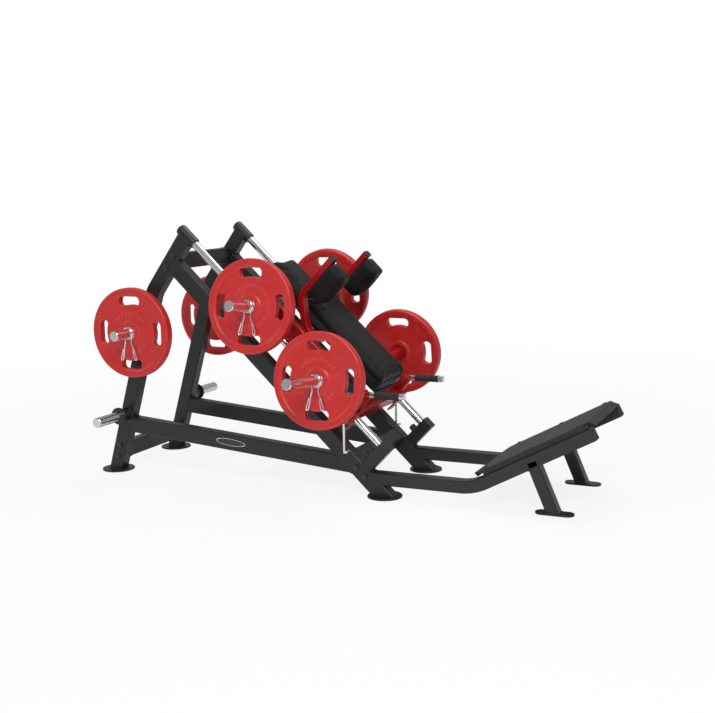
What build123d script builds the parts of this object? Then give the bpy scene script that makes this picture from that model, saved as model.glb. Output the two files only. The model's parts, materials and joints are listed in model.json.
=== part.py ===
from build123d import *
from math import cos, radians, sin, tan
import os

# Plate-loaded sled machine on two sloping guide rods. Millimetres, +Z up, +Y to the user's left,
# +X towards the foot plate. Stations are measured along the floor from the middle of the rear feet.
# The model's origin is on the floor, halfway along the machine.

# Side frames
half_gauge = 268.0          # centre plane to the middle of each side frame and guide rod
tube_wide = 62.0            # width of every frame tube across the machine
main_deep = 80.0            # depth of inclines, rear base rails and cross tubes
upright_deep = 75.0
base_deep = 60.0            # depth of the front base rails
leg_deep = 55.0
wall = 3.0
corner_radius = 7.0
upright_bend_x = 283.0
upright_bend_z = 940.0
upright_bend_radius = 160.0
rear_rail_back_z = 255.0    # height of the rear base rail's middle at the upright
rear_rail_front_z = 144.0   # and at the incline
front_rail_z = 88.0
ramp_bend_x = 1969.0
ramp_bend_radius = 250.0
ramp_angle = 28.0
ramp_length = 610.0
leg_foot_x = 2339.0
leg_lean = 22.7
rear_cross_z = 107.0
upper_cross_z = 1095.0
cross_wide = 60.0

# Floor pads
pad_thick = 8.0
pad_radius = 83.0
floor_pad_edge = 2.0
front_pad_long = 175.0
front_pad_wide = 66.0

# Guide rods and the incline below them. On the slope, t runs down the rod and n stands off it.
slope_angle = 43.8
slope_x = 844.7             # the rod's point t = 0
slope_z = 881.0
incline_n = -157.6
rod_radius = 19.0
rod_top_t = -530.0
rod_foot_t = 952.0
top_holder_t = -490.0
top_holder_long = 115.0
holder_wall = 9.5           # of the top holders, round the rod
holder_edge = 2.0
foot_post_t = 915.0         # up-slope face of the post that holds the rod's lower end
foot_post_long = 60.0
foot_post_wide = 62.0
foot_post_top_n = 32.0
lower_cross_t = 875.0
lower_cross_long = 75.0
bolt_radius = 14.0          # hex heads on the side frames, and the washers under them
bolt_high = 9.0
washer_radius = 17.5
washer_thick = 3.0
bolt_spacing = 60.0
bumper_n = -55.0
bumper_radius = 17.0
bumper_long = 26.0

# Storage horns on the uprights
storage_z = (307.0, 747.0)
storage_stand = 71.0        # side frame to the flange face that a stored disc rests on
storage_reach = 178.0       # from the flange face to the tip

# Foot plate on the ramp. On the ramp, u runs up it from its bend and v stands off its middle.
foot_plate_start = 26.0
foot_plate_inset = 9.0      # from the rails' upper ends to the plate's bend
foot_plate_over = 22.0      # past the middles of the base rails, on each side
foot_plate_thick = 8.0
foot_plate_corner = 45.0
foot_plate_lip = 18.0       # fold at the lower end
foot_plate_roll = 30.0      # how far the upper end slopes down past its bend
runner_high = 18.8          # flat bars between the base rails and the foot plate
runner_wide = 40.0
plate_bolt_u = (90.0, 326.0, 560.0)
plate_bolt_radius = 9.0
plate_bolt_high = 4.0
end_cap_thick = 6.0         # plugs in the rails' upper ends

# Carriage
sled_travel = 400.0         # up the rods from the locked place, as far as the top holders allow
side_rail_over = 1.0        # the rails' sides past the guide rods'
side_rail_top_n = 115.0
side_rail_gap = 5.0         # from the guide rod to the rail above it
side_rail_start = -20.0
side_rail_end = 580.0
side_plate_thick = 8.0      # cheek plates from the side rails down to the lower bearings
cheek_back = 150.0          # up the rail from its end, along the cheek's top
cheek_low_back = 130.0      # and along its lower edge
cheek_inset = 8.0           # inside the rail's top and end
cheek_low_inset = 6.0
cheek_step = 20.0
cheek_past = 5.0            # beyond the lower housing's up-slope end
cheek_lap = 1.0             # below the top of the lower housing
bearing_wall = 8.0          # round the rod
housing_wall = 4.0          # round the bearing
housing_spans = ((-20.0, 110.0), (620.0, 745.0))
sled_cross_starts = (-20.0, 260.0)
sled_cross_long = 60.0
sled_cross_low_n = 35.0
sled_cross_top_n = 85.0
bottom_cross_start = 690.0
bottom_cross_low_n = -30.0
bottom_cross_top_n = 40.0
bottom_cross_inset = 8.0    # its ends, short of the guide rods' middle planes
striker_thick = 8.0
striker_low_n = -80.0
striker_top_n = 50.0
striker_gap = 2.0           # round the guide rods

# Loading horns: station, height and distance from the side frame, all of the loaded disc's outer face
horn_radius = 25.0
horn_edge = 3.0
horn_tilt = 6.3
horn_boss_wall = 7.5        # of the bosses, over the horn's radius
flange_radius = 44.0
flange_thick = 8.0
upper_horn = (927.0, 900.4, 141.6)
lower_horn = (1305.4, 579.0, 208.0)
upper_horn_reach = 181.4    # from the disc's outer face to the tip
lower_horn_reach = 290.0

# Weight discs and their spring clips
disc_radius = 225.0
disc_thick = 48.0
disc_rim = 30.0
disc_hub_radius = 58.0
disc_recess = 6.0
disc_step = 8.0             # width of the slopes into the recess
disc_edge = 8.0
slot_centre = 157.0
slot_long = 122.0
slot_high = 50.0
slot_corner = 22.0
slot_inner_radius = 140.0
clip_wire = 3.0
wire_flat = 0.1             # straight left between the loop's two bends
clip_coil_long = 20.0
clip_drop = 140.0
clip_splay = 15.0
clip_loop_half = 7.0

# Pads
board_thick = 12.0
board_half = 100.0
board_start = -100.0
board_end = 705.0
back_pad = (135.0, 702.0, 150.0, 195.0)     # start, end, half width, front face
head_pad = (-125.0, 122.0, 105.0, 180.0)
pad_edge = 22.0
shoulder_inner = 153.0
shoulder_outer = 238.0
shoulder_low_n = 238.0
shoulder_top_n = 440.0
shoulder_deep = 104.0
shoulder_edge = 14.0
shoulder_heel_edge = 40.0   # rounding of the lower end, below the user's shoulder
bracket_start = 121.0       # up-slope face of the upright stretch of each bracket
bracket_deep = 30.0
bracket_wide = 50.0
bracket_bend_radius = 60.0
bracket_knee_n = 200.0
bracket_toe_t = 258.0
bracket_rise = 6.0          # bracket above the shoulder pad
bracket_cap_thick = 5.0
rib_half = 60.0             # rib under the lower end of the pad board

# Release handles: a turning shaft along X with a hanging safety hook
handle_inset = 11.0         # from the guide rod's middle plane
handle_z = 478.0
shaft_radius = 8.0
hook_x = 1345.0
hook_stand = 19.0           # from the side frame to the hook's middle
hook_foot_z = 205.0
hook_radius = 6.0
bushing_start = 1400.0
bushing_end = 1455.0
bushing_radius = 15.0
grip_start = 1482.0
grip_end = 1606.0
grip_radius = 17.5
handle_end = 1630.0
catch_z = 213.0
catch_radius = 7.0
catch_past = 8.0            # the peg past the hook

web_thick = 14.0            # plates that carry the bushings
web_lap = 2.0               # into the bushing
web_start = 682.0
web_end = 733.0
web_top_n = 128.0
hook_bend_radius = 20.0
grip_edge = 3.0
knob_step = 1.5             # the knob is this much smaller than the grip
collar_step = 2.0           # and the collar than the bushing
collar_gap = 2.0

# Clearances
running_gap = 0.06          # shafts and rods in their bearings, on the radius
fixed_gap = 0.05            # parts clamped together
disc_gap = 0.6              # disc bore over its horn, on the radius
free_gap = 0.5              # between pieces that only come near each other

far = 4000.0                # larger than the machine, for cutting blocks

SIDES = (("right", -1), ("left", 1))

# Derived places
slope_cos = cos(radians(slope_angle))
slope_sin = sin(radians(slope_angle))
ramp_cos = cos(radians(ramp_angle))
ramp_sin = sin(radians(ramp_angle))
outer_face = half_gauge + tube_wide / 2
inner_face = half_gauge - tube_wide / 2
holder_radius = rod_radius + holder_wall
bearing_radius = rod_radius + bearing_wall
housing_radius = bearing_radius + housing_wall
horn_boss_radius = horn_radius + horn_boss_wall
storage_face = outer_face + storage_stand
handle_y = half_gauge - handle_inset
hook_y = outer_face + hook_stand
plate_half = half_gauge + foot_plate_over
ramp_end_x = ramp_bend_x + ramp_length * ramp_cos
front_edge = ramp_end_x + end_cap_thick * ramp_cos + base_deep / 2 * ramp_sin
middle_x = (front_edge - pad_radius) / 2

slope = Plane(origin=(slope_x, 0, slope_z), x_dir=(slope_cos, 0, -slope_sin),
              z_dir=(slope_sin, 0, slope_cos))
ramp = Plane(origin=(ramp_bend_x, 0, front_rail_z), x_dir=(ramp_cos, 0, ramp_sin),
             z_dir=(-ramp_sin, 0, ramp_cos))


def slope_point(t, n):
    """Station and height of a point on the slope."""
    return slope_x + t * slope_cos + n * slope_sin, slope_z - t * slope_sin + n * slope_cos


def to_slope(x, z):
    """Slope coordinates of a station and height."""
    dx = x - slope_x
    dz = z - slope_z
    return dx * slope_cos - dz * slope_sin, dx * slope_sin + dz * slope_cos


def block(x0, x1, y0, y1, z0, z1):
    """A plain box between its limits in whatever frame it is placed in."""
    centre = Pos((x0 + x1) / 2, (y0 + y1) / 2, (z0 + z1) / 2)
    return centre * Box(abs(x1 - x0), abs(y1 - y0), abs(z1 - z0))


def rod_between(start, end, radius):
    """A round bar from one point to another."""
    start = Vector(*start)
    end = Vector(*end)
    plane = Plane(origin=start, z_dir=end - start)
    return extrude(plane * Circle(radius), (end - start).length)


def bent_tube(points, y, deep, bend_radius=None, thickness=wall, wide=tube_wide):
    """A rectangular tube along stations and heights, and the same tube filled in."""
    corners = [(x, y, z) for x, z in points]
    if bend_radius:
        path = FilletPolyline(*corners, radius=bend_radius)
    else:
        path = Polyline(*corners)
    start = Plane(origin=path @ 0, z_dir=path % 0, x_dir=(0, 1, 0))
    outer = sweep(start * RectangleRounded(wide, deep, corner_radius), path=path)
    bore = RectangleRounded(wide - 2 * thickness, deep - 2 * thickness, corner_radius - thickness)
    inner = sweep(start * bore, path=path)
    return outer - inner, outer


def cross_tube(x, z, half_span, wide, deep, tilt=0.0):
    """A rectangular tube across the machine, wide along its tilted X and deep along its Z."""
    plane = Plane(origin=(x, -half_span, z), x_dir=(cos(radians(tilt)), 0, -sin(radians(tilt))),
                  z_dir=(0, 1, 0))
    shell = RectangleRounded(wide, deep, corner_radius)
    hole = RectangleRounded(wide - 2 * wall, deep - 2 * wall, corner_radius - wall)
    return extrude(plane * (shell - hole), 2 * half_span)


def upright_axis(z):
    """Station of the upright's middle at a height below its bend."""
    return upright_bend_x * z / upright_bend_z


def incline_axis(z):
    """Station of the incline's middle at a height."""
    return slope_x + (incline_n - (z - slope_z) * slope_cos) / slope_sin


def incline_head_t():
    """Where the upright's upper stretch crosses the incline's middle."""
    bend_t, bend_n = to_slope(upright_bend_x, upright_bend_z)
    share = (incline_n - bend_n) / (0.0 - bend_n)
    return bend_t + share * (top_holder_t - bend_t)


floor_cut = block(-far, far, -far, far, -far, pad_thick)
parts = {}


def add(name, *pieces):
    """Keep a node: one or more separate solids."""
    solids = []
    for piece in pieces:
        solids.extend(piece.solids())
    parts[name] = solids


# Uprights, inclines, base rails and legs of both side frames.
top_x, top_z = slope_point(top_holder_t, 0)
holders = []
legs = []
for side, sign in SIDES:
    y = sign * half_gauge
    holder_start = (top_holder_t - top_holder_long / 2, y, 0)
    holder_end = (top_holder_t + top_holder_long / 2, y, 0)
    holder_body = slope.location * rod_between(holder_start, holder_end, holder_radius)
    rims = holder_body.edges().filter_by(GeomType.CIRCLE).sort_by(Axis.Z)
    holder_body = fillet(rims[-1], holder_radius / 2)
    rims = holder_body.edges().filter_by(GeomType.CIRCLE).sort_by(Axis.Z)
    holder_body = chamfer(rims[0], holder_edge)
    holder_bore = slope.location * rod_between((rod_top_t - free_gap, y, 0), (0, y, 0),
                                               rod_radius + fixed_gap)
    holders.append(holder_body - holder_bore)

    upright, upright_full = bent_tube([(0, 0), (upright_bend_x, upright_bend_z), (top_x, top_z)], y,
                                      upright_deep, upright_bend_radius)
    add("upright_" + side, upright - floor_cut - holder_body)

    head_x, head_z = slope_point(incline_head_t(), incline_n)
    foot_x = incline_axis(0)
    below_x = foot_x + main_deep * slope_cos
    below_z = -main_deep * slope_sin
    incline, incline_full = bent_tube([(head_x, head_z), (below_x, below_z)], y, main_deep)
    add("incline_" + side, incline - upright_full - floor_cut)

    rear_start = (upright_axis(rear_rail_back_z), rear_rail_back_z)
    rear_end = (incline_axis(rear_rail_front_z), rear_rail_front_z)
    rear_rail, rear_full = bent_tube([rear_start, rear_end], y, main_deep)
    add("rear_base_rail_" + side, rear_rail - upright_full - incline_full)

    rail_points = [(incline_axis(front_rail_z), front_rail_z), (ramp_bend_x, front_rail_z),
                   (ramp_end_x, front_rail_z + ramp_length * ramp_sin)]
    front_rail, front_full = bent_tube(rail_points, y, base_deep, ramp_bend_radius)
    add("front_base_rail_" + side, front_rail - incline_full)

    lean = tan(radians(leg_lean))
    rise = tan(radians(ramp_angle))
    leg_top_z = (front_rail_z + (leg_foot_x - ramp_bend_x) * rise) / (1 + lean * rise)
    leg, leg_full = bent_tube([(leg_foot_x, 0), (leg_foot_x - lean * leg_top_z, leg_top_z)], y, leg_deep)
    legs.append(leg - front_full - floor_cut)
add("front_legs", *legs)
add("rod_top_holders", *holders)

# Cross tubes between the side frames.
upper_share = (upper_cross_z - upright_bend_z) / (top_z - upright_bend_z)
upper_cross_x = upright_bend_x + upper_share * (top_x - upright_bend_x)
add("upper_cross_tube", cross_tube(upper_cross_x, upper_cross_z, inner_face, cross_wide, main_deep))
add("rear_cross_tube", cross_tube(upright_axis(rear_cross_z), rear_cross_z, inner_face, cross_wide,
                                  main_deep))
lower_x, lower_z = slope_point(lower_cross_t, incline_n)
add("lower_cross_tube", cross_tube(lower_x, lower_z, inner_face, lower_cross_long, main_deep, slope_angle))

# Guide rods, their lower posts and the rubber bumpers on them.
incline_top_n = incline_n + main_deep / 2
posts = []
bumpers = []
for side, sign in SIDES:
    y = sign * half_gauge
    rod = slope.location * rod_between((rod_top_t, y, 0), (rod_foot_t, y, 0), rod_radius)
    add("guide_rod_" + side, rod)
    post = block(foot_post_t, foot_post_t + foot_post_long, y - foot_post_wide / 2,
                 y + foot_post_wide / 2, incline_top_n, foot_post_top_n)
    post = fillet(post.edges().filter_by(Axis.Z), corner_radius)
    bore = rod_between((0, y, 0), (rod_foot_t + free_gap, y, 0), rod_radius + fixed_gap)
    posts.append(slope.location * (post - bore))
    bumper = rod_between((foot_post_t - bumper_long, y, bumper_n), (foot_post_t, y, bumper_n),
                         bumper_radius)
    crown = bumper.edges().sort_by(Axis.X)[0]
    bumpers.append(slope.location * fillet(crown, bumper_radius / 2))
add("rod_foot_posts", *posts)
add("lower_bumpers", *bumpers)

# Floor pads: round ones under the uprights and inclines, long ones under the front legs.
pads = []
for sign in (-1, 1):
    for x in (0.0, incline_axis(pad_thick)):
        disc = Pos(x, sign * half_gauge, pad_thick / 2) * Cylinder(pad_radius, pad_thick)
        pads.append(chamfer(disc.edges().sort_by(Axis.Z)[-1], floor_pad_edge))
    sole = Pos(leg_foot_x, sign * half_gauge, 0) * SlotOverall(front_pad_long, front_pad_wide)
    pads.append(extrude(sole, pad_thick))
add("floor_pads", *pads)

# Plugs in the upper ends of the front base rails.
plugs = []
for sign in (-1, 1):
    plug = block(ramp_length, ramp_length + end_cap_thick, sign * half_gauge - tube_wide / 2,
                 sign * half_gauge + tube_wide / 2, -base_deep / 2, base_deep / 2)
    plug = fillet(plug.edges().filter_by(Axis.X), corner_radius)
    plug = fillet(plug.faces().sort_by(Axis.X)[-1].edges(), end_cap_thick - 1)
    plugs.append(ramp.location * plug)
add("rail_end_plugs", *plugs)

# Storage horns: a black socket with a flange, and a chromed bar.
sockets = []
storage_bars = []
for sign in (-1, 1):
    for z in storage_z:
        x = upright_axis(z)
        neck = rod_between((x, sign * outer_face, z), (x, sign * storage_face, z), horn_boss_radius)
        flange = rod_between((x, sign * (storage_face - flange_thick), z), (x, sign * storage_face, z),
                             flange_radius)
        sockets.append(neck + flange)
        bar = rod_between((x, sign * storage_face, z), (x, sign * (storage_face + storage_reach), z),
                          horn_radius)
        tip = bar.edges().sort_by(Axis.Y)[0 if sign < 0 else -1]
        storage_bars.append(chamfer(tip, horn_edge))
add("storage_horn_sockets", *sockets)
add("storage_horns", *storage_bars)

# Foot plate with its folded ends, on two runners that lie along the base rails.
plate_low_v = base_deep / 2 + runner_high
plate_top_v = plate_low_v + foot_plate_thick
plate_end = ramp_length - foot_plate_inset
sheet = block(foot_plate_start, plate_end, -plate_half, plate_half, plate_low_v, plate_top_v)
sheet = fillet(sheet.edges().filter_by(Axis.Z), foot_plate_corner)
lip_half = plate_half - foot_plate_corner
lip_top_v = plate_low_v + foot_plate_thick / 2
lip = block(foot_plate_start, foot_plate_start + foot_plate_thick, -lip_half, lip_half,
            lip_top_v - foot_plate_lip, lip_top_v)
roll_outline = Polygon((plate_end - foot_plate_thick, plate_top_v), (plate_end, plate_top_v),
                       (plate_end + foot_plate_roll, plate_top_v - foot_plate_roll),
                       (plate_end + foot_plate_roll - foot_plate_thick, plate_top_v - foot_plate_roll),
                       (plate_end - foot_plate_thick, plate_low_v), align=None)
roll_plane = Plane(origin=(0, lip_half, 0), x_dir=(1, 0, 0), z_dir=(0, -1, 0))
roll = extrude(roll_plane * roll_outline, 2 * lip_half, dir=(0, -1, 0))
add("foot_plate", ramp.location * (sheet + lip + roll))
runners = []
for sign in (-1, 1):
    y = sign * (half_gauge - runner_wide / 4)
    runner = block(foot_plate_start + foot_plate_corner, plate_end - foot_plate_thick, y - runner_wide / 2,
                   y + runner_wide / 2, base_deep / 2, plate_low_v)
    runners.append(ramp.location * runner)
add("foot_plate_runners", *runners)

# Catch pegs for the safety hooks, on the outer faces of the inclines.
catch_x = hook_x + hook_radius + catch_radius + free_gap
pegs = []
for sign in (-1, 1):
    pegs.append(rod_between((catch_x, sign * outer_face, catch_z),
                            (catch_x, sign * (hook_y + hook_radius + catch_past), catch_z), catch_radius))
add("catch_pegs", *pegs)

# Hex bolt heads of the frame: cross tubes, posts and foot plate.
bolts = []


def side_bolt(x, z, sign):
    """A hex head and its washer on the outer face of a side frame."""
    plane = Plane(origin=(x, sign * outer_face, z), x_dir=(1, 0, 0), z_dir=(0, sign, 0))
    return extrude(plane * RegularPolygon(bolt_radius, 6), bolt_high) + extrude(
        plane * Circle(washer_radius), washer_thick)


upper_lean = (top_x - upright_bend_x) / (top_z - upright_bend_z)
for sign in (-1, 1):
    for offset in (-bolt_spacing / 2, bolt_spacing / 2):
        bolts.append(side_bolt(upper_cross_x + upper_lean * offset, upper_cross_z + offset, sign))
        low_z = rear_cross_z + offset
        bolts.append(side_bolt(upright_axis(low_z), low_z, sign))
        bolt_x, bolt_z = slope_point(foot_post_t + foot_post_long / 2 + offset, incline_n)
        bolts.append(side_bolt(bolt_x, bolt_z, sign))
    for u in plate_bolt_u:
        head = rod_between((u, sign * half_gauge, plate_top_v),
                           (u, sign * half_gauge, plate_top_v + plate_bolt_high), plate_bolt_radius)
        bolts.append(ramp.location * head)
add("frame_bolts", *bolts)

# Carriage side rails with the plates that reach down to the lower bearings.
side_rail_half = rod_radius + side_rail_over
side_rail_low_n = rod_radius + side_rail_gap
rail_inner = half_gauge - side_rail_half
rail_outer = half_gauge + side_rail_half
plate_outer = rail_outer + side_plate_thick
lower_start, lower_end = housing_spans[1]
housings = []
housing_bodies = []
bearings = []
for side, sign in SIDES:
    y = sign * half_gauge
    rail = block(side_rail_start, side_rail_end, sign * rail_inner, sign * rail_outer,
                 side_rail_low_n, side_rail_top_n)
    rail = fillet(rail.edges().filter_by(Axis.X), corner_radius)
    profile = Polygon((side_rail_end - cheek_back, side_rail_top_n - cheek_inset),
                      (side_rail_end - cheek_inset, side_rail_top_n - cheek_inset),
                      (side_rail_end + cheek_step, housing_radius - cheek_lap),
                      (lower_end, housing_radius - cheek_lap), (lower_end, -housing_radius),
                      (lower_start - cheek_past, -housing_radius),
                      (side_rail_end - cheek_low_back, side_rail_low_n + cheek_low_inset), align=None)
    side_plane = Plane(origin=(0, sign * rail_outer, 0), x_dir=(1, 0, 0), z_dir=(0, -1, 0))
    cheek = extrude(side_plane * profile, side_plate_thick, dir=(0, sign, 0))
    for start, end in housing_spans:
        body = rod_between((start, y, 0), (end, y, 0), housing_radius)
        liner = rod_between((start, y, 0), (end, y, 0), bearing_radius)
        bore = rod_between((start, y, 0), (end, y, 0), rod_radius + running_gap)
        housings.append(slope.location * (body - liner))
        housing_bodies.append(slope.location * body)
        bearings.append(slope.location * (liner - bore))
        rail -= body
        cheek -= body
    add("carriage_side_" + side, slope.location * (rail + cheek))
add("bearing_housings", *housings)
add("linear_bearings", *bearings)

# Cross tubes of the carriage. The lowest one carries the striker plates that meet the bumpers.
sled_crosses = []
for start in sled_cross_starts:
    shell = block(start, start + sled_cross_long, -rail_inner, rail_inner, sled_cross_low_n,
                  sled_cross_top_n)
    hole = block(start + wall, start + sled_cross_long - wall, -rail_inner, rail_inner,
                 sled_cross_low_n + wall, sled_cross_top_n - wall)
    sled_crosses.append(slope.location * (shell - hole))
add("carriage_cross_tubes", *sled_crosses)

bottom_half = half_gauge - bottom_cross_inset
bottom = block(bottom_cross_start, lower_end, -bottom_half, bottom_half, bottom_cross_low_n,
               bottom_cross_top_n)
bottom -= block(bottom_cross_start + wall, lower_end - wall, -bottom_half, bottom_half,
                bottom_cross_low_n + wall, bottom_cross_top_n - wall)
striker_end = lower_end + striker_thick
for sign in (-1, 1):
    y = sign * half_gauge
    reach = plate_outer - half_gauge
    striker = block(lower_end, striker_end, y - reach, y + reach, striker_low_n, striker_top_n)
    striker -= rod_between((0, y, 0), (rod_foot_t, y, 0), rod_radius + striker_gap)
    bottom -= rod_between((0, y, 0), (lower_end, y, 0), housing_radius)
    bottom += striker
add("carriage_bottom_cross", slope.location * bottom)


# Loading horns of the carriage, tilted up towards their tips.
tilt = radians(horn_tilt)


def horn_plane(horn, sign):
    """Origin where the disc's outer face crosses the horn's axis, Z outwards along it."""
    x, z, stand = horn
    return Plane(origin=(x, sign * (outer_face + stand), z), x_dir=(1, 0, 0),
                 z_dir=(0, sign * cos(tilt), sin(tilt)))


brackets = []
loading_bars = []
loading = ((upper_horn, upper_horn_reach, rail_outer), (lower_horn, lower_horn_reach, plate_outer))
for horn, reach, inner in loading:
    for sign in (-1, 1):
        place = horn_plane(horn, sign).location
        root = -disc_thick - free_gap
        start = root - (outer_face + horn[2] - inner) / cos(tilt)
        boss = rod_between((0, 0, start), (0, 0, root), horn_boss_radius)
        flange = rod_between((0, 0, root - flange_thick), (0, 0, root), flange_radius)
        inside = block(-far, far, -inner, inner, -far, far)
        bracket = place * (boss + flange) - inside
        for body in housing_bodies:
            bracket -= body
        brackets.append(bracket)
        bar = rod_between((0, 0, root), (0, 0, reach / cos(tilt)), horn_radius)
        loading_bars.append(place * chamfer(bar.edges().sort_by(Axis.Z)[-1], horn_edge))
add("horn_brackets", *brackets)
add("loading_horns", *loading_bars)

# Pad board, back pad and head pad.
board_low = sled_cross_top_n
board_top = board_low + board_thick
board = block(board_start, board_end, -board_half, board_half, board_low, board_top)
rib = block(bottom_cross_start + wall, board_end, -rib_half, rib_half, bottom_cross_top_n, board_low)
add("pad_board", slope.location * (board + rib))


def cushion(start, end, half, front):
    """A plain closed cushion on the board with rounded front edges."""
    body = block(start, end, -half, half, board_top, front)
    body = fillet(body.edges().filter_by(Axis.Z), pad_edge)
    return fillet(body.faces().sort_by(Axis.Z)[-1].edges(), pad_edge)


add("back_pad", slope.location * cushion(*back_pad))
add("head_pad", slope.location * cushion(*head_pad))

# Shoulder pads on bent tube brackets that stand on the carriage's second cross tube.
bracket_middle = (shoulder_inner + shoulder_outer) / 2
bracket_top_n = shoulder_top_n + bracket_rise
bracket_foot_t = sled_cross_starts[1] + sled_cross_long
bracket_foot_n = sled_cross_top_n + bracket_deep / 2
caps = []
for side, sign in SIDES:
    y = sign * bracket_middle
    stem_t = bracket_start + bracket_deep / 2
    path = FilletPolyline((bracket_foot_t, y, bracket_foot_n), (bracket_toe_t, y, bracket_foot_n),
                          (stem_t, y, bracket_knee_n), (stem_t, y, bracket_top_n),
                          radius=bracket_bend_radius)
    start = Plane(origin=path @ 0, z_dir=path % 0, x_dir=(0, 1, 0))
    outer = sweep(start * RectangleRounded(bracket_wide, bracket_deep, wall), path=path)
    inner = sweep(start * Rectangle(bracket_wide - 2 * wall, bracket_deep - 2 * wall), path=path)
    add("shoulder_bracket_" + side, slope.location * (outer - inner))
    cap = block(bracket_start, bracket_start + bracket_deep, y - bracket_wide / 2, y + bracket_wide / 2,
                bracket_top_n, bracket_top_n + bracket_cap_thick)
    caps.append(slope.location * fillet(cap.edges().filter_by(Axis.Z), wall))

    pad_start = bracket_start + bracket_deep + fixed_gap
    pad = block(pad_start, pad_start + shoulder_deep, sign * shoulder_inner, sign * shoulder_outer,
                shoulder_low_n, shoulder_top_n)
    low_edges = pad.faces().sort_by(Axis.Z)[0].edges().filter_by(Axis.Y).sort_by(Axis.X)
    pad = fillet(low_edges[-1], shoulder_heel_edge)
    pad = fillet(pad.edges().filter_by(Axis.Y).sort_by(Axis.Z)[-2:], shoulder_edge)
    low_edges = pad.edges().filter_by(Axis.Y).filter_by(lambda e: e.center().X < pad_start + free_gap)
    pad = fillet(low_edges.sort_by(Axis.Z)[0], shoulder_edge)
    add("shoulder_pad_" + side, slope.location * pad)
add("bracket_caps", *caps)

# Release handles: bushings on the carriage, and a turning shaft with its grip and safety hook.
bushings = []
for side, sign in SIDES:
    y = sign * handle_y
    barrel = rod_between((bushing_start, y, handle_z), (bushing_end, y, handle_z), bushing_radius)
    web_outer = handle_y - bushing_radius + web_lap
    web = slope.location * block(web_start, web_end, sign * (web_outer - web_thick), sign * web_outer,
                                 bottom_cross_top_n, web_top_n)
    bore = rod_between((hook_x, y, handle_z), (handle_end, y, handle_z), shaft_radius + running_gap)
    under = slope.location * block(-far, far, -far, far, -far, bottom_cross_top_n)
    bushings.append(barrel + web - bore - under)

    shaft = rod_between((hook_x, y, handle_z), (handle_end, y, handle_z), shaft_radius)
    collar = rod_between((bushing_end + collar_gap, y, handle_z), (grip_start, y, handle_z),
                         bushing_radius - collar_step)
    knob = rod_between((grip_end, y, handle_z), (handle_end, y, handle_z), grip_radius - knob_step)
    path = FilletPolyline((hook_x, y, handle_z), (hook_x, sign * hook_y, handle_z),
                          (hook_x, sign * hook_y, hook_foot_z), radius=hook_bend_radius)
    start = Plane(origin=path @ 0, z_dir=path % 0)
    hook = sweep(start * Circle(hook_radius), path=path)
    end_ball = Pos(hook_x, y, handle_z) * Sphere(shaft_radius)
    add("handle_shaft_" + side, shaft + collar + knob + hook + end_ball)
    grip = rod_between((grip_start, y, handle_z), (grip_end, y, handle_z), grip_radius)
    add("handle_grip_" + side, fillet(grip.edges(), grip_edge) - shaft)
add("handle_bushings", *bushings)


# Weight discs: a rim, a recessed web with four grip slots, and a hub.
def weight_disc():
    """Inner face at Z = -disc_thick, outer face at Z = 0."""
    bore = horn_radius + disc_gap
    web = disc_radius - disc_rim
    points = [(bore, 0), (disc_hub_radius, 0), (disc_hub_radius + disc_step, -disc_recess),
              (web - disc_step, -disc_recess), (web, 0), (disc_radius, 0)]
    back = [(r, -disc_thick - z) for r, z in reversed(points)]
    section = Plane.XZ * Polygon(*(points + back), align=None)
    corners = section.vertices().filter_by(lambda v: v.X > disc_radius - disc_recess)
    section = fillet(corners, disc_edge)
    disc = revolve(section, Axis.Z)
    window = Pos(slot_centre, 0) * RectangleRounded(slot_high, slot_long, slot_corner)
    window -= Circle(slot_inner_radius)
    cutter = Pos(0, 0, -far / 2) * extrude(window, far)
    for turn in range(4):
        disc -= Rot(0, 0, 90 * turn) * cutter
    return disc


def spring_clip():
    """A coil round the horn with two wire loops that hang from it, against Z = 0."""
    inner = horn_radius + disc_gap
    outer = inner + 2 * clip_wire
    coil = rod_between((0, 0, free_gap), (0, 0, free_gap + clip_coil_long), outer)
    coil -= rod_between((0, 0, 0), (0, 0, far), inner)
    z = free_gap + clip_coil_long / 2
    half = clip_loop_half
    path = FilletPolyline((-half, -inner - clip_wire, z), (-half, -clip_drop, z), (half, -clip_drop, z),
                          (half, -inner - clip_wire, z), radius=half - wire_flat)
    start = Plane(origin=path @ 0, z_dir=path % 0)
    loop = sweep(start * Circle(clip_wire), path=path)
    for turn in (-clip_splay, clip_splay):
        coil += Rot(0, 0, turn) * loop
    return coil


def storage_plane(z, sign):
    """Outer face of the disc on a storage horn, Z outwards."""
    origin = (upright_axis(z), sign * (storage_face + free_gap + disc_thick), z)
    return Plane(origin=origin, x_dir=(1, 0, 0), z_dir=(0, sign, 0))


disc = weight_disc()
clip = spring_clip()
for side, sign in SIDES:
    places = {"storage": storage_plane(storage_z[1], sign), "upper": horn_plane(upper_horn, sign),
              "lower": horn_plane(lower_horn, sign)}
    hang = Rot(0, 0, 0 if sign < 0 else 180)
    for where, place in places.items():
        add(where + "_disc_" + side, place.location * disc)
        add(where + "_clip_" + side, place.location * hang * clip)

os.makedirs("parts", exist_ok=True)
for name, solids in parts.items():
    shifted = [Pos(-middle_x, 0, 0) * solid for solid in solids]
    shape = shifted[0] if len(shifted) == 1 else Compound(children=shifted)
    export_step(shape, "parts/" + name + ".step")
print(len(parts), "nodes, origin at station", round(middle_x, 3))
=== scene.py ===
import json
import math
from math import asin, cos, hypot, pi, radians, sin, tau

import bmesh
import bpy
from mathutils import Matrix, Vector
from mathutils.bvhtree import BVHTree
from mathutils.kdtree import KDTree


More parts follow.
